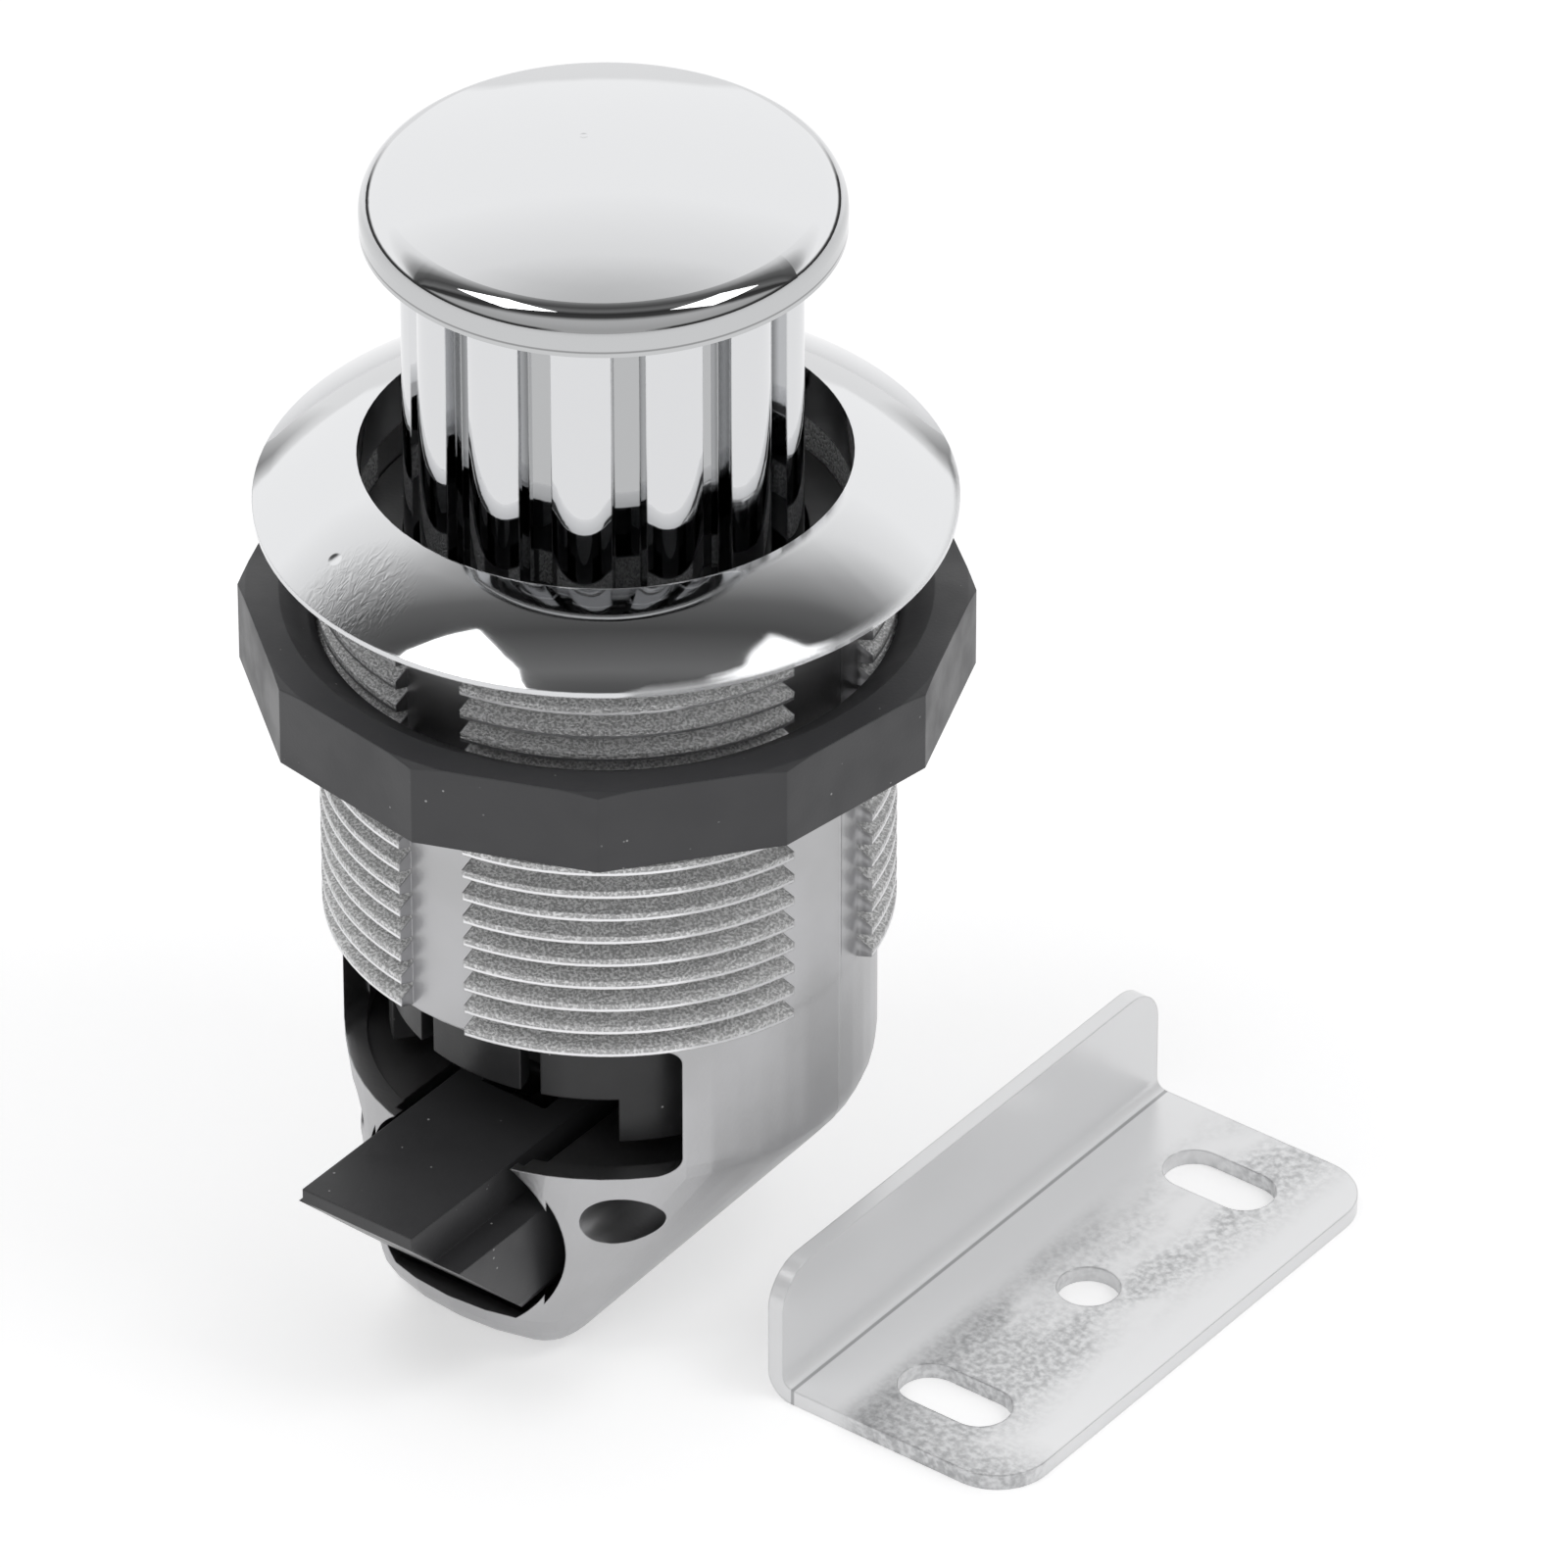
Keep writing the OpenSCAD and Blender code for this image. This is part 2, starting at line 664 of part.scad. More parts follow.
module bolt_pin() {
    color([0.6, 0.6, 0.62]) translate([-bolt_top_w / 2, bolt_pin_y, bolt_pin_z]) rotate([0, 90, 0])
        cylinder(h = bolt_top_w, r = rocker_pin_r, $fn = 32);
}

module bolt() {
    tip_y = -core_r - bolt_reach;
    back_y = -core_r + bolt_back;
    tail_y = bolt_pin_y + 1.5;
    tail_slot_w = 2 * (ear_x + ear_t + pass_gap) - 0.2;
    tail_slot_y = rocker_y - finger_in - finger_t - bolt_travel - 2 * pass_gap;
    prong_low_z = bolt_pin_z - 1.2;
    color([0.16, 0.16, 0.17]) difference() {
        bolt_form(tip_y, back_y, tail_y, prong_low_z);
        translate([-tail_slot_w / 2, tail_slot_y, bolt_top_z - 10]) cube([tail_slot_w, 20, 20]);
        translate([-bolt_top_w, bolt_pin_y, bolt_pin_z]) rotate([0, 90, 0])
            cylinder(h = 2 * bolt_top_w, r = rocker_pin_r, $fn = 32);
    }
}

module bolt_form(tip_y, back_y, tail_y, prong_low_z) {
    intersection() {
        union() {
            // Round body with its ledges
            intersection() {
                translate([0, back_y, port_z]) rotate([90, 0, 0])
                    cylinder(h = back_y - tip_y, r = bolt_d / 2);
                union() {
                    translate([-ledge_w / 2, tip_y - over, port_z - bolt_d])
                        cube([ledge_w, back_y - tip_y + 2 * over, bolt_d + bolt_top_up - ledge_drop]);
                    translate([-bolt_top_w / 2, tip_y - over, port_z - bolt_d])
                        cube([bolt_top_w, back_y - tip_y + 2 * over, bolt_d + bolt_top_up]);
                }
            }
            // Tail that runs back over the slope of the cage
            translate([-bolt_top_w / 2, tip_y, bolt_top_z - 3]) cube([bolt_top_w, tail_y - tip_y, 3]);
            // Prongs that hold the bolt's pin
            translate([-bolt_top_w / 2, bolt_pin_y - 1.5, prong_low_z])
                cube([bolt_top_w, tail_y - bolt_pin_y + 1.5, bolt_top_z - prong_low_z]);
        }
        bolt_side_profile(tip_y);
    }
}

// Side view of the bolt: a blunt nose over the ramp, and a back that clears the cage's slope
module bolt_side_profile(tip_y) {
    deep = bolt_d + bolt_top_up;
    run = (deep - nose_h) / tan(ramp_angle);
    back = 20;
    // Height of the cage's inner slope under the origin, lowered by the bolt's travel
    slope_z = ring_z - turn_r * tan(slope_angle) - (cage_fillet - cage_wall) / cos(slope_angle);
    rise = bolt_travel * tan(slope_angle) + pass_gap / cos(slope_angle);
    intersection() {
        rotate([90, 0, 90]) linear_extrude(bolt_d * 2, center = true) polygon([
            [tip_y, bolt_top_z],
            [tip_y, bolt_top_z - nose_h],
            [tip_y + run, bolt_top_z - deep],
            [back, bolt_top_z - deep],
            [back, bolt_top_z]
        ]);
        translate([0, 0, slope_z + rise]) rotate([slope_angle, 0, 0])
            translate([-bolt_d, -4 * bolt_d, 0]) cube([2 * bolt_d, 8 * bolt_d, 4 * bolt_d]);
    }
}

module strike_plate() {
    color([0.75, 0.76, 0.78]) translate([strike_x, strike_y, -body_len]) difference() {
        intersection() {
            rotate([90, 0, 0]) linear_extrude(strike_len + 2 * over, center = true) strike_profile();
            // Round outer corners of the base
            translate([0, 0, -over]) linear_extrude(strike_h + 2 * over)
                rounded_plate(2 * strike_w, strike_len, base_corner);
            // Round upper corners of the upright
            rotate([90, 0, 90]) linear_extrude(3 * strike_w, center = true)
                rounded_plate(strike_len + 0.02, 2 * strike_h, upright_corner);
        }
        translate([screw_line, 0, -over]) {
            cylinder(h = strike_t + 2 * over, r = strike_hole_d / 2);
            for (s = [-1, 1]) translate([0, s * slot_gap / 2, 0])
                linear_extrude(strike_t + 2 * over) rounded_slot(slot_len, slot_w);
        }
    }
}

// An L whose bend has round points worked out along two arcs
module strike_profile() {
    outer = strike_t + strike_bend;
    bend_angles = [0 : 15 : 90];
    polygon(concat(
        [for (a = bend_angles) [outer - outer * cos(a), outer - outer * sin(a)]],
        [[strike_w + over, 0], [strike_w + over, strike_t]],
        [for (a = bend_angles) [outer - strike_bend * sin(a), outer - strike_bend * cos(a)]],
        [[strike_t, strike_h + over], [0, strike_h + over]]
    ));
}

module rounded_slot(l, w) {
    square([l - w, w], center = true);
    for (s = [-1, 1]) translate([s * (l - w) / 2, 0]) circle(w / 2);
}

housing();
mounting_nut();
guide_sleeve();
spring_base();
knob_cap();
knob_stem();
cam_core();
core_pin(-1);  // core_pin_left
core_pin(1);  // core_pin_right
knob_spring();
cam_follower();
draw_rod();
rocker();
rocker_pin();
bolt();
bolt_pin();
strike_plate();
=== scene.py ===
"""Pushbutton panel latch with its strike plate: finishes, light and camera round the CAD model."""
import math

import bpy
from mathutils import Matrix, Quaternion, Vector


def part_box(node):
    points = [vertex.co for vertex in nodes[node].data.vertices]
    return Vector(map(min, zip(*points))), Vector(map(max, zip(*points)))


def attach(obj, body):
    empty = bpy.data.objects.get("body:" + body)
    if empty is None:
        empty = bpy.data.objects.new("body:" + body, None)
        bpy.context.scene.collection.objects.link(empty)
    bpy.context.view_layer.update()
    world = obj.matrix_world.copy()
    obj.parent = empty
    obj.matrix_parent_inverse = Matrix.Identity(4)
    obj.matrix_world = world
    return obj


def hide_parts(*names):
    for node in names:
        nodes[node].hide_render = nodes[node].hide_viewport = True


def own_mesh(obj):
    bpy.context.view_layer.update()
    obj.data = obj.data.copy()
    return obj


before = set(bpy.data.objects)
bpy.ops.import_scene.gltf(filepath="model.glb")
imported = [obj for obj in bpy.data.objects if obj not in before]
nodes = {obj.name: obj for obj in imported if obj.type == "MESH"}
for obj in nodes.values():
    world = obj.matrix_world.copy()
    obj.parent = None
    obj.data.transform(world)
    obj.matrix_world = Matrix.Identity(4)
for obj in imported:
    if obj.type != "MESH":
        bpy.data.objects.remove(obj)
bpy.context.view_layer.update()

MM = 0.001

# Sizes read from the model
CAP_LOW, CAP_TOP = (corner.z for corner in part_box("knob_cap"))
CAGE_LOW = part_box("housing")[0].z
STRIKE_LOW, STRIKE_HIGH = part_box("strike_plate")

# The thread's crest, its lower end, its pitch and the half widths of its flats, as in part.scad
THREAD_R = 19 * MM
THREAD_END = -31.7 * MM
THREAD_PITCH = 1.8 * MM
NARROW_HALF = 2.6 * MM
WIDE_HALF = 4.2 * MM

# The knob's spring, as in part.scad, and how finely its coil is drawn
SPRING_WIRE_R = 0.5 * MM
SPRING_TURNS = 11
RINGS_PER_TURN = 28
WIRE_SIDES = 10

# The cap's rim, the outside of the strike plate's bend and the knob's ribs, as in part.scad
CAP_RIM = 2.45 * MM
BEND_OUTER = 2 * MM
STEM_R = 13.15 * MM

# Marks on the plating: a pit in the cap, a pit and a smudge on the flange, the parting line
CAP_PIT = (-2.8 * MM, 1.6 * MM, CAP_TOP)
FLANGE_PIT = (-7.6 * MM, -18.8 * MM, 2.4 * MM)
FLANGE_SMUDGE = (-4.5 * MM, -20.5 * MM, 2 * MM)
PARTING_Y = 1.9 * MM

# The painted highlight line on each crest, as a share of the pitch above the crest's lower end
CREST_HIGHLIGHT_AT = 0.4

# Plated and bare metal
CHROME = (0.66, 0.665, 0.675)
# Painted shade for the grooves between the stem's ribs
CHROME_GROOVE_SHADE = (0.44, 0.445, 0.45)
# Painted shade for the cap's rim
CHROME_RIM_SHADE = (0.52, 0.525, 0.53)
# Painted highlight along the thread's crests
CREST_HIGHLIGHT = (0.86, 0.86, 0.87)
SEAM_GREY = (0.12, 0.12, 0.12)
GRAIN = ((0.46, 0.46, 0.46), (0.9, 0.9, 0.9))
SATIN = ((0.45, 0.45, 0.455), (0.5, 0.5, 0.51))
ZINC = (0.78, 0.79, 0.81)
ZINC_CLEAR = (0.91, 0.913, 0.918)
ZINC_SPECKLE = ((0.4, 0.403, 0.41), (0.66, 0.663, 0.67))
# Painted shade along the crease of the strike plate's bend
CREASE_SHADE = (0.3, 0.3, 0.31)
STEEL = (0.6, 0.6, 0.62)

# Plastics, and the dust on them
NUT_BLACK = (0.045, 0.045, 0.048)
SLEEVE_BLACK = (0.02, 0.02, 0.021)
BOLT_BLACK = (0.042, 0.042, 0.044)
DUST_GREY = (0.45, 0.45, 0.45)

# The photograph's camera: where it aims and where that point lands in the image
CAMERA_AZIMUTH = math.radians(38.0)
CAMERA_ELEVATION = math.radians(34.6)
CAMERA_DISTANCE = 0.950
CAMERA_TARGET = Vector((0, 0, -15 * MM))
PIXELS_PER_MM = 15.58
IMAGE_SIZE = 1600
TARGET_PIXEL = (620, 701.5)
SENSOR_WIDTH = 36.0
CAMERA_ROLL = math.radians(-0.5)

# The floor, which glows a little for the camera so that it comes out nearly white
FLOOR_HALF = 3.0
FLOOR_GREY = (0.8, 0.8, 0.8)
FLOOR_GLOW = 0.42

# The room as the mirrors see it: degrees from overhead, negative beyond the object and positive
# on the camera's side, and how bright the room is there
ROOM = ((-90, 1.0), (-80, 1.0), (-79, 1.2), (-50, 1.2), (-38, 1.02), (-26, 0.46), (-16, 0.16),
        (-6, 0.09), (8, 0.2), (18, 0.04), (32, 0.06), (44, 0.55), (88, 0.6))

# Dark low strips at both sides of the room: where they set in sideways and downwards
STRIP_ASIDE = (0.3, 0.5)
STRIP_HEIGHT = (0.16, 0.08)
STRIP_GREY = (0.06, 0.06, 0.06)

# The room's plain light on everything matt
FILL = (0.6, 0.6, 0.605)

LAMP_DISTANCE = 0.9
LAMP_SIZE = 0.35


class Tree:
    """A node tree being built, with short calls for the nodes it uses."""

    def __init__(self, tree, coordinates):
        self.tree = tree
        self.place = self.node("ShaderNodeTexCoord").outputs[coordinates]

    def node(self, kind, **settings):
        made = self.tree.nodes.new(kind)
        for name, value in settings.items():
            setattr(made, name, value)
        return made

    def feed(self, socket, value):
        """A link where value is another node's output, or else a plain setting."""
        if isinstance(value, bpy.types.NodeSocket):
            self.tree.links.new(value, socket)
        else:
            socket.default_value = value

    def math(self, operation, *values):
        made = self.node("ShaderNodeMath", operation=operation)
        for socket, value in zip(made.inputs, values):
            self.feed(socket, value)
        return made.outputs[0]

    def times(self, first, second):
        return self.math("MULTIPLY", first, second)

    def inverse(self, mask):
        """1 where the mask is 0, and 0 where it is 1."""
        return self.math("SUBTRACT", 1.0, mask)

    def away(self, value, middle):
        """How far value is from middle, on either side."""
        return self.math("ABSOLUTE", self.math("SUBTRACT", value, middle))

    def axis(self, letter):
        made = self.node("ShaderNodeSeparateXYZ")
        self.feed(made.inputs[0], self.place)
        return made.outputs["XYZ".index(letter)]

    def along(self, direction):
        """How far the place lies in that direction."""
        made = self.node("ShaderNodeVectorMath", operation="DOT_PRODUCT")
        self.feed(made.inputs[0], self.place)
        made.inputs[1].default_value = direction
        return made.outputs["Value"]

    def ramp(self, value, low, high, out_low=0.0, out_high=1.0, course="SMOOTHSTEP"):
        """value carried from low..high to out_low..out_high, and held level beyond."""
        made = self.node("ShaderNodeMapRange", interpolation_type=course)
        for name, item in (("Value", value), ("From Min", low), ("From Max", high),
                           ("To Min", out_low), ("To Max", out_high)):
            self.feed(made.inputs[name], item)
        return made.outputs[0]

    def mix_colour(self, factor, low, high):
        made = self.node("ShaderNodeMix", data_type="RGBA")
        self.feed(made.inputs["Factor"], factor)
        for socket, colour in ((made.inputs[6], low), (made.inputs[7], high)):
            self.feed(socket, colour if isinstance(colour, bpy.types.NodeSocket) else (*colour, 1))
        return made.outputs[2]

    def seen_directly(self):
        """1 for rays that the camera, a mirror or glass sends straight out."""
        path = self.node("ShaderNodeLightPath")
        total = path.outputs["Is Camera Ray"]
        for name in ("Is Glossy Ray", "Is Transmission Ray"):
            total = self.math("MAXIMUM", total, path.outputs[name])
        return total


class Shader(Tree):
    """A material being built, with plain values first and textures fed in over them."""

    def __init__(self, name, colour, metallic, roughness):
        self.material = bpy.data.materials.new(name)
        self.material.use_nodes = True
        super().__init__(self.material.node_tree, "Object")
        self.surface = self.tree.nodes["Principled BSDF"]
        self.colour((*colour, 1))
        self.metallic(metallic)
        self.roughness(roughness)
        self.bump_normal = None

    def colour(self, value):
        self.feed(self.surface.inputs["Base Color"], value)

    def metallic(self, value):
        self.feed(self.surface.inputs["Metallic"], value)

    def roughness(self, value):
        self.feed(self.surface.inputs["Roughness"], value)

    def radius(self):
        """Distance from the barrel's axis."""
        squares = [self.math("POWER", self.axis(letter), 2.0) for letter in "XY"]
        return self.math("SQRT", self.math("ADD", *squares))

    def stretched(self, scale, turn):
        """The object's coordinates, turned about Z and scaled differently along each axis."""
        made = self.node("ShaderNodeMapping")
        self.feed(made.inputs["Vector"], self.place)
        made.inputs["Rotation"].default_value = (0, 0, math.radians(turn))
        made.inputs["Scale"].default_value = scale
        return made.outputs[0]

    def noise(self, scale, detail, place=None, distortion=0.0):
        """Noise whose features are about scale metres across."""
        made = self.node("ShaderNodeTexNoise")
        self.feed(made.inputs["Vector"], place or self.place)
        made.inputs["Scale"].default_value = 1 / scale
        made.inputs["Detail"].default_value = detail
        made.inputs["Distortion"].default_value = distortion
        return made.outputs["Fac"]

    def dots(self, spacing):
        """Distance to the nearest of many scattered points, as a share of their spacing."""
        made = self.node("ShaderNodeTexVoronoi")
        self.feed(made.inputs["Vector"], self.place)
        made.inputs["Scale"].default_value = 1 / spacing
        return made.outputs["Distance"]

    def fade(self, distance, reach):
        """1 within two fifths of the reach, falling smoothly to 0 at its end."""
        return self.ramp(distance, 0.4 * reach, reach, 1.0, 0.0)

    def near(self, point, reach):
        """1 at a point of the object, fading out at reach metres from it."""
        made = self.node("ShaderNodeVectorMath", operation="DISTANCE")
        self.feed(made.inputs[0], self.place)
        made.inputs[1].default_value = point
        return self.fade(made.outputs["Value"], reach)

    def band(self, value, middle, half):
        """1 where value is at middle, fading out at half from it."""
        return self.fade(self.away(value, middle), half)

    def set_normal(self, made):
        self.bump_normal = made.outputs[0]
        self.feed(self.surface.inputs["Normal"], self.bump_normal)

    def soft_edges(self, radius):
        """Edges catch the light as if they were rounded by that radius."""
        made = self.node("ShaderNodeBevel", samples=4)
        self.feed(made.inputs["Radius"], radius)
        self.set_normal(made)

    def bump(self, height, depth, strength=1.0):
        """Adds a bump of that depth in metres on top of the ones before it."""
        made = self.node("ShaderNodeBump")
        self.feed(made.inputs["Height"], height)
        made.inputs["Distance"].default_value = depth
        self.feed(made.inputs["Strength"], strength)
        if self.bump_normal:
            self.feed(made.inputs["Normal"], self.bump_normal)
        self.set_normal(made)

    def pit(self, point, reach, depth):
        """A small round dent at a point of the object."""
        self.bump(self.times(self.near(point, reach), -1.0), depth)


def stem_chrome():
    """Mirror plating, with painted shade making it greyer in the grooves between the ribs."""
    s = Shader("stem_chrome", CHROME, 1.0, 0.03)
    rib = s.ramp(s.radius(), STEM_R - 1.5 * MM, STEM_R - 0.9 * MM)
    # Painted shade: the grooves between the ribs are greyer than the ribs
    s.colour(s.mix_colour(rib, CHROME_GROOVE_SHADE, CHROME))
    s.soft_edges(0.15 * MM)
    s.bump(s.noise(4 * MM, 2), 0.01 * MM)
    return s.material


def knob_chrome():
    """Mirror plating with a faint orange peel, a rim greyed by painted shade with two dark seams,
    and one pit.
    """
    s = Shader("knob_chrome", CHROME, 1.0, 0.03)
    height = s.axis("Z")
    # Painted shade: the rim below the dome is greyer than the dome
    on_dome = s.ramp(height, CAP_LOW + CAP_RIM, CAP_LOW + CAP_RIM + 0.5 * MM)
    tone = s.mix_colour(on_dome, CHROME_RIM_SHADE, CHROME)
    # Seams where the cap is pressed over the stem's plate
    low_seam = s.band(height, CAP_LOW + 0.1 * MM, 0.14 * MM)
    high_seam = s.band(height, CAP_LOW + 0.9 * MM, 0.1 * MM)
    seam = s.math("MAXIMUM", low_seam, s.times(high_seam, 0.6))
    s.colour(s.mix_colour(seam, tone, SEAM_GREY))
    s.roughness(s.ramp(s.noise(9 * MM, 3), 0.35, 0.7, 0.02, 0.05))
    s.bump(s.noise(5 * MM, 2), 0.008 * MM)
    s.bump(s.noise(0.5 * MM, 2), 0.0004 * MM)
    s.pit(CAP_PIT, 0.4 * MM, 0.05 * MM)
    return s.material


def thread_masks(s, height, below):
    """Masks for the thin painted highlight along each crest, and for the rest of the thread."""
    above_cage = s.ramp(height, THREAD_END - 0.2 * MM, THREAD_END)
    off_narrow = s.ramp(s.math("ABSOLUTE", s.axis("X")), NARROW_HALF, NARROW_HALF + 0.1 * MM)
    off_wide = s.ramp(s.math("ABSOLUTE", s.axis("Y")), WIDE_HALF, WIDE_HALF + 0.1 * MM)
    thread = s.times(s.times(below, above_cage), s.times(off_narrow, off_wide))
    crest = s.ramp(s.radius(), THREAD_R - 0.1 * MM, THREAD_R - 0.02 * MM)
    pitches = s.math("DIVIDE", s.math("SUBTRACT", height, THREAD_END), THREAD_PITCH)
    off_line = s.away(s.math("FRACT", pitches), CREST_HIGHLIGHT_AT)
    line = s.times(crest, s.ramp(off_line, 0.03, 0.07, 1.0, 0.0))
    return s.times(thread, line), s.times(thread, s.inverse(line))


def casting_chrome():
    """One plated casting: mirror flange, grainy thread with a painted highlight on each crest, even
    satin cage.
    """
    s = Shader("casting_chrome", CHROME, 1.0, 0.1)
    height = s.axis("Z")
    on_flange = s.ramp(height, -0.2 * MM, 0.1 * MM)
    below = s.inverse(on_flange)
    crest_highlight, valley = thread_masks(s, height, below)
    sparkle = s.ramp(s.noise(0.2 * MM, 3), 0.36, 0.64)
    satin = s.mix_colour(s.ramp(s.noise(8 * MM, 2), 0.3, 0.7), *SATIN)
    tone = s.mix_colour(valley, satin, s.mix_colour(sparkle, *GRAIN))
    # Painted highlight: a thin bright line along each crest
    tone = s.mix_colour(crest_highlight, tone, CREST_HIGHLIGHT)
    s.colour(s.mix_colour(on_flange, tone, CHROME))
    mirror = s.ramp(s.noise(7 * MM, 3), 0.35, 0.7, 0.02, 0.06)
    s.roughness(s.math("ADD", s.times(on_flange, mirror), s.times(below, 0.36)))
    s.metallic(s.inverse(s.times(valley, 0.6)))
    # A wider rounding beside the window evens out the cage's flat strips
    s.soft_edges(s.ramp(s.axis("X"), 14.6 * MM, 16 * MM, 0.12 * MM, 1 * MM))
    s.bump(s.noise(6 * MM, 2), 0.008 * MM)
    s.bump(s.noise(0.3 * MM, 2), 0.012 * MM, below)
    s.bump(sparkle, 0.06 * MM, valley)
    lines = s.noise(0.5 * MM, 1, s.stretched((1, 0.25, 1), 25), 1.5)
    s.bump(lines, 0.018 * MM, s.times(on_flange, s.near(FLANGE_SMUDGE, 5 * MM)))
    s.pit(FLANGE_PIT, 0.6 * MM, 0.08 * MM)
    # The parting line runs down the wide flat only
    parting = s.ramp(s.away(s.axis("Y"), PARTING_Y), 0.05 * MM, 0.14 * MM, 1.0, 0.0)
    on_wide_side = s.ramp(s.axis("X"), 10 * MM, 12 * MM)
    s.bump(s.times(parting, on_wide_side), 0.05 * MM, below)
    return s.material


def black_plastic(name, colour, roughness):
    """Moulded plastic with a fine skin and scattered dust."""
    s = Shader(name, colour, 0.0, roughness)
    dust = s.ramp(s.dots(0.9 * MM), 0.12, 0.05)
    dusty_patch = s.ramp(s.noise(2.2 * MM, 2), 0.56, 0.62)
    s.colour(s.mix_colour(s.times(dust, dusty_patch), colour, DUST_GREY))
    s.roughness(s.ramp(s.noise(4 * MM, 3), 0.3, 0.7, roughness - 0.06, roughness + 0.08))
    s.soft_edges(0.18 * MM)
    s.bump(s.noise(0.25 * MM, 2), 0.008 * MM)
    return s.material


def spring_steel():
    """Drawn wire with a faint grain."""
    s = Shader("spring_steel", STEEL, 1.0, 0.25)
    s.bump(s.noise(0.2 * MM, 2), 0.004 * MM)
    return s.material


def zinc_plate():
    """Bright zinc: an even upright, a clear strip beside the bend, a mottled grey base and painted
    shade along the bend's crease.
    """
    s = Shader("zinc_plate", ZINC, 1.0, 0.28)
    mottle = s.ramp(s.noise(0.5 * MM, 4), 0.3, 0.7)
    patches = s.ramp(s.noise(6 * MM, 3, s.stretched((1, 0.5, 1), 30)), 0.3, 0.55)
    across = s.axis("X")
    strip_end = STRIKE_LOW.x + 5 * MM
    on_base = s.ramp(across, strip_end, strip_end + 3 * MM)
    inner = s.ramp(across, STRIKE_HIGH.x - 6 * MM, STRIKE_HIGH.x - 1.5 * MM, 1.0, 0.0)
    near_end = s.ramp(s.axis("Y"), STRIKE_LOW.y + 1 * MM, STRIKE_LOW.y + 6 * MM, 1.0, 0.0)
    middle = s.times(s.times(on_base, inner), patches)
    worn = s.math("MAXIMUM", middle, s.times(on_base, near_end))
    plated = s.mix_colour(worn, ZINC_CLEAR, s.mix_colour(mottle, *ZINC_SPECKLE))
    # Painted shade: a dark line along the crease of the bend
    crease_shade = s.band(across, STRIKE_LOW.x + BEND_OUTER, 0.18 * MM)
    s.colour(s.mix_colour(s.times(crease_shade, 0.7), plated, CREASE_SHADE))
    s.metallic(s.ramp(worn, 0.0, 1.0, 0.25, 0.85))
    s.soft_edges(0.2 * MM)
    s.bump(mottle, 0.005 * MM, worn)
    return s.material


def give(material, *names):
    """These CAD nodes take this material all over."""
    for name in names:
        nodes[name].data.materials.clear()
        nodes[name].data.materials.append(material)


def dress_nodes():
    """Every CAD node gets its finish."""
    give(knob_chrome(), "knob_cap")
    give(stem_chrome(), "knob_stem")
    give(casting_chrome(), "housing")
    give(black_plastic("nut_plastic", NUT_BLACK, 0.42), "mounting_nut")
    give(black_plastic("black_plastic", SLEEVE_BLACK, 0.35),
         "guide_sleeve", "spring_base", "cam_core")
    give(black_plastic("bolt_plastic", BOLT_BLACK, 0.34), "bolt")
    give(spring_steel(), "knob_spring", "cam_follower", "core_pin_left", "core_pin_right",
         "draw_rod", "rocker", "rocker_pin", "bolt_pin")
    give(zinc_plate(), "strike_plate")


def coil_mesh(coil_r, start, rise):
    """Round wire wound upwards round the Z axis from start, closed at both ends."""
    rings = SPRING_TURNS * RINGS_PER_TURN
    round_trip = coil_r * 2 * math.pi * SPRING_TURNS
    points, faces = [], []
    for ring in range(rings + 1):
        angle = 2 * math.pi * ring / RINGS_PER_TURN
        out = Vector((math.cos(angle), math.sin(angle), 0))
        along = Vector((-math.sin(angle), math.cos(angle), 0)) * round_trip
        across = out.cross((along + Vector((0, 0, rise))).normalized())
        centre = out * coil_r + Vector((0, 0, start + rise * ring / rings))
        for side in range(WIRE_SIDES):
            turn = 2 * math.pi * side / WIRE_SIDES
            points.append(centre + SPRING_WIRE_R * (math.cos(turn) * out + math.sin(turn) * across))
    for ring in range(rings):
        for side in range(WIRE_SIDES):
            a = ring * WIRE_SIDES + side
            b = ring * WIRE_SIDES + (side + 1) % WIRE_SIDES
            faces.append((a, b, b + WIRE_SIDES, a + WIRE_SIDES))
    faces.append(tuple(range(WIRE_SIDES - 1, -1, -1)))
    faces.append(tuple(range(rings * WIRE_SIDES, (rings + 1) * WIRE_SIDES)))
    mesh = bpy.data.meshes.new("spring_coil")
    mesh.from_pydata(points, [], faces)
    mesh.shade_smooth()
    return mesh


def round_coil():
    """The knob's spring as a smooth coil, in place of the CAD spring."""
    low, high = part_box("knob_spring")
    mesh = coil_mesh(high.x - SPRING_WIRE_R, low.z + SPRING_WIRE_R,
                     high.z - low.z - 2 * SPRING_WIRE_R)
    coil = bpy.data.objects.new("spring_coil", mesh)
    bpy.context.scene.collection.objects.link(coil)
    mesh.materials.append(bpy.data.materials["spring_steel"])
    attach(coil, "body")
    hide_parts("knob_spring")
    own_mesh(coil)


def direction(azimuth, elevation):
    """The unit vector from the latch to something placed at these angles, in radians."""
    return Vector((math.sin(azimuth) * math.cos(elevation),
                   -math.cos(azimuth) * math.cos(elevation), math.sin(elevation)))


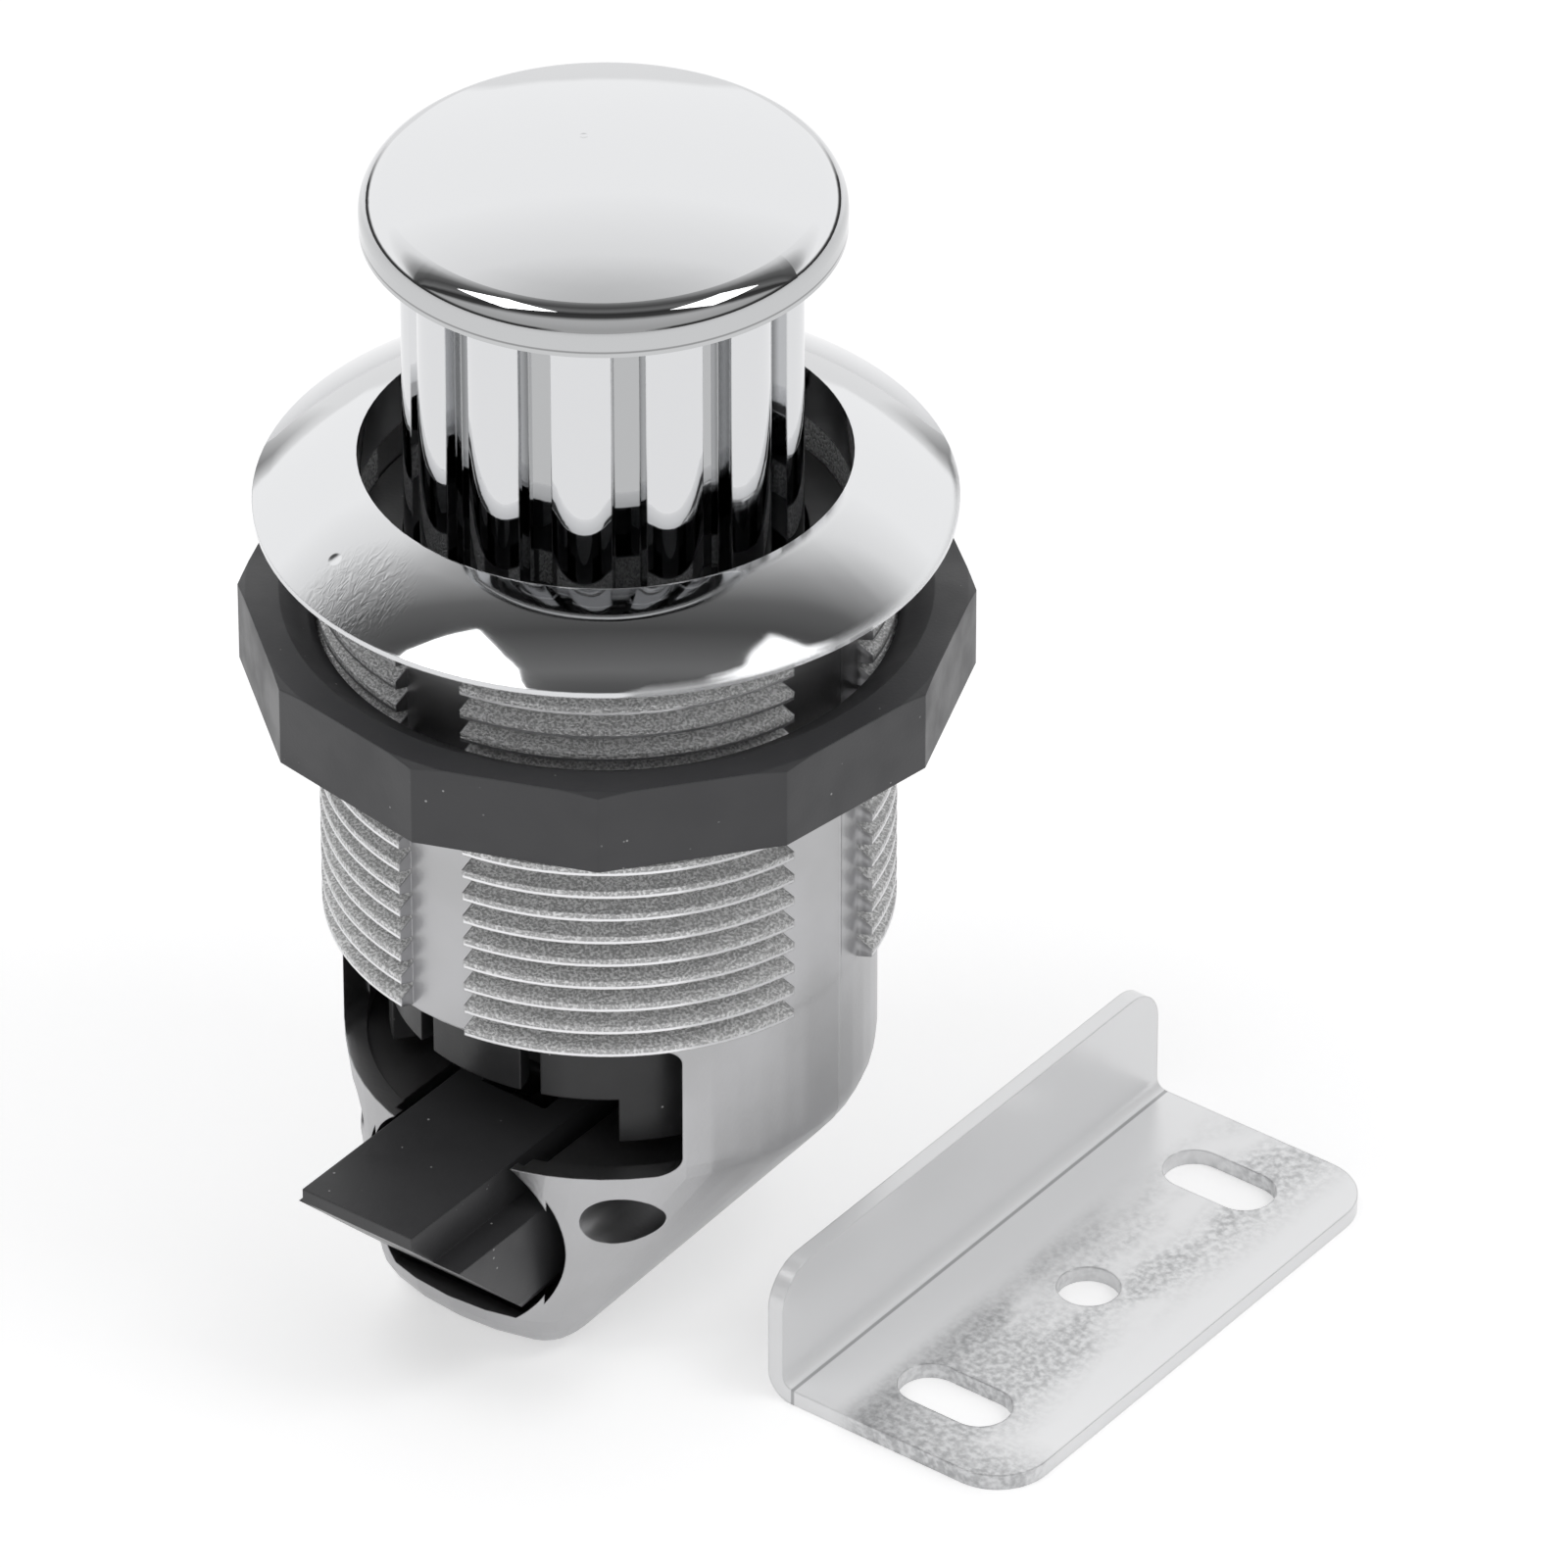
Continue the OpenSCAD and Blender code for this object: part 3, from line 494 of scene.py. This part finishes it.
def make_camera():
    """The photograph's camera, shifted so that its target lands on the target pixel."""
    back = direction(CAMERA_AZIMUTH, CAMERA_ELEVATION)
    data = bpy.data.cameras.new("camera")
    data.sensor_width = SENSOR_WIDTH
    focal_pixels = PIXELS_PER_MM * CAMERA_DISTANCE / MM
    data.lens = SENSOR_WIDTH * focal_pixels / IMAGE_SIZE
    data.shift_x = (IMAGE_SIZE / 2 - TARGET_PIXEL[0]) / IMAGE_SIZE
    data.shift_y = (TARGET_PIXEL[1] - IMAGE_SIZE / 2) / IMAGE_SIZE
    camera = bpy.data.objects.new("camera", data)
    camera.location = CAMERA_TARGET + back * CAMERA_DISTANCE
    camera.rotation_mode = "QUATERNION"
    camera.rotation_quaternion = Quaternion(back, CAMERA_ROLL) @ (-back).to_track_quat("-Z", "Y")
    bpy.context.scene.collection.objects.link(camera)
    bpy.context.scene.camera = camera


def make_floor():
    """A plain pale floor at the height of the cage's and the strike plate's underside."""
    corners = [(sx * FLOOR_HALF, sy * FLOOR_HALF, CAGE_LOW)
               for sx, sy in ((-1, -1), (1, -1), (1, 1), (-1, 1))]
    mesh = bpy.data.meshes.new("floor")
    mesh.from_pydata(corners, [], [(0, 1, 2, 3)])
    floor = bpy.data.objects.new("floor", mesh)
    bpy.context.scene.collection.objects.link(floor)
    s = Shader("floor", FLOOR_GREY, 0.0, 0.9)
    s.feed(s.surface.inputs["Emission Color"], (1, 1, 1, 1))
    s.feed(s.surface.inputs["Emission Strength"], s.times(s.seen_directly(), FLOOR_GLOW))
    mesh.materials.append(s.material)


def make_world():
    """White beyond the object, a dark room behind the camera, and plain light on matt things."""
    world = bpy.data.worlds.new("studio")
    bpy.context.scene.world = world
    world.use_nodes = True
    s = Tree(world.node_tree, "Generated")
    towards = s.along((math.sin(CAMERA_AZIMUTH), -math.cos(CAMERA_AZIMUTH), 0))
    lean = s.math("ARCTAN2", towards, s.axis("Z"))
    room = s.node("ShaderNodeValToRGB")
    s.feed(room.inputs["Fac"], s.ramp(lean, -math.pi / 2, math.pi / 2, course="LINEAR"))
    elements = room.color_ramp.elements
    while len(elements) < len(ROOM):
        elements.new(0.5)
    for element, (angle, level) in zip(elements, ROOM):
        element.position = (angle + 90) / 180
        element.color = (level, level, level, 1)
    # The strips draw the dark line round the cap's edge
    aside = s.math("ABSOLUTE", s.along((math.cos(CAMERA_AZIMUTH), math.sin(CAMERA_AZIMUTH), 0)))
    strip = s.times(s.ramp(aside, *STRIP_ASIDE, course="LINEAR"),
                    s.ramp(s.axis("Z"), *STRIP_HEIGHT, course="LINEAR"))
    mirrored = s.mix_colour(strip, room.outputs["Color"], STRIP_GREY)
    background = s.tree.nodes["Background"]
    s.feed(background.inputs["Color"], s.mix_colour(s.seen_directly(), FILL, mirrored))


def make_lamp(name, azimuth, elevation, power):
    """A soft square lamp that aims at the latch; azimuth is measured like the camera's."""
    away = direction(math.radians(azimuth), math.radians(elevation))
    data = bpy.data.lights.new(name, "AREA")
    data.size = LAMP_SIZE
    data.energy = power
    lamp = bpy.data.objects.new(name, data)
    lamp.location = CAMERA_TARGET + away * LAMP_DISTANCE
    lamp.rotation_mode = "QUATERNION"
    lamp.rotation_quaternion = (-away).to_track_quat("-Z", "Y")
    bpy.context.scene.collection.objects.link(lamp)


dress_nodes()
round_coil()
make_camera()
make_floor()
make_world()
make_lamp("left_box", -35, 62, 1.3)
make_lamp("right_box", 110, 55, 1.1)
bpy.context.scene.view_settings.view_transform = "Standard"
